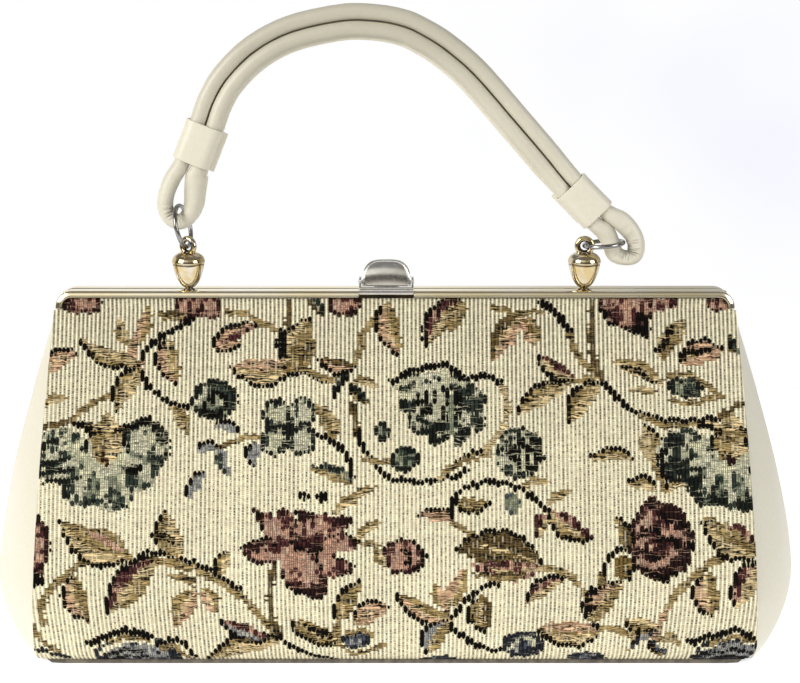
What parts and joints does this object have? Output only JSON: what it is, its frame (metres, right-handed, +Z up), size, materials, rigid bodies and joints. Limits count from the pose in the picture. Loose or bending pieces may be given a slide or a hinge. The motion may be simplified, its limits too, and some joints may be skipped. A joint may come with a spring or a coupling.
{
  "type": "carpet bag",
  "caption": "Upright tapestry handbag on a hinged gold-tone frame with swollen vinyl ends, a thumb lock and an arched rolled handle hung on acorn posts.",
  "frame": {"origin": "middle of the base on the floor", "axes": "+X along the width to the viewer's right, -Y towards the front with the lock and the handle, +Z up"},
  "size_m": [0.3332, 0.086, 0.2593],
  "materials": {
    "tapestry": "ribbed floral tapestry",
    "card": "grey-brown card",
    "lining": "satin lining",
    "vinyl": "smooth ivory vinyl",
    "gold": "polished gold tone",
    "nickel": "polished nickel",
    "steel": "dark nickel"
  },
  "bodies": {
    "bag": {"front_cover": "tapestry", "back_cover": "tapestry", "base_cover": "tapestry", "front_board": "card", "back_board": "card", "base_board": "card", "lining": "lining", "left_gusset": "vinyl", "right_gusset": "vinyl", "front_frame": "gold", "left_hinge_rivet": "steel", "right_hinge_rivet": "steel", "lock_bracket": "nickel", "lock_pin": "steel", "lock_spring": "steel", "left_washer": "gold", "right_washer": "gold"},
    "back_half": {"back_frame": "gold"},
    "thumb": {"thumb_tab": "nickel"},
    "left_acorn": {"left_post": "gold"},
    "right_acorn": {"right_post": "gold"},
    "rings": {"left_ring": "steel", "right_ring": "steel"},
    "grip": {"handle": "vinyl", "left_keeper": "vinyl", "right_keeper": "vinyl"}
  },
  "joints": [
    {"name": "frame_open", "type": "hinge", "parent": "bag", "child": "back_half", "pos_m": [0, 0, 0.112], "axis": [-1, 0, 0], "range_deg": [0, 55], "deforming": ["back_cover", "lining"]},
    {"name": "thumb_lift", "type": "hinge", "parent": "bag", "child": "thumb", "pos_m": [-0.0035, -0.00375, 0.1494], "axis": [1, 0, 0], "range_deg": [0, 30], "stiffness_Nm_per_rad": 0.02, "springref_deg": -17.19},
    {"name": "left_post_turn", "type": "hinge", "parent": "bag", "child": "left_acorn", "pos_m": [-0.0837, -0.00375, 0.146], "axis": [0, 0, 1], "range_deg": [-10, 10]},
    {"name": "right_post_turn", "type": "hinge", "parent": "bag", "child": "right_acorn", "pos_m": [0.0767, -0.00375, 0.146], "axis": [0, 0, 1], "range_deg": [-10, 10]},
    {"name": "ring_swing", "type": "hinge", "parent": "bag", "child": "rings", "pos_m": [-0.0035, -0.00375, 0.1639], "axis": [1, 0, 0], "range_deg": [-28, 28]},
    {"name": "handle_swing", "type": "hinge", "parent": "rings", "child": "grip", "pos_m": [-0.085, -0.00375, 0.1736], "axis": [0.9987, 0, -0.051], "range_deg": [-36, 36]}
  ]
}
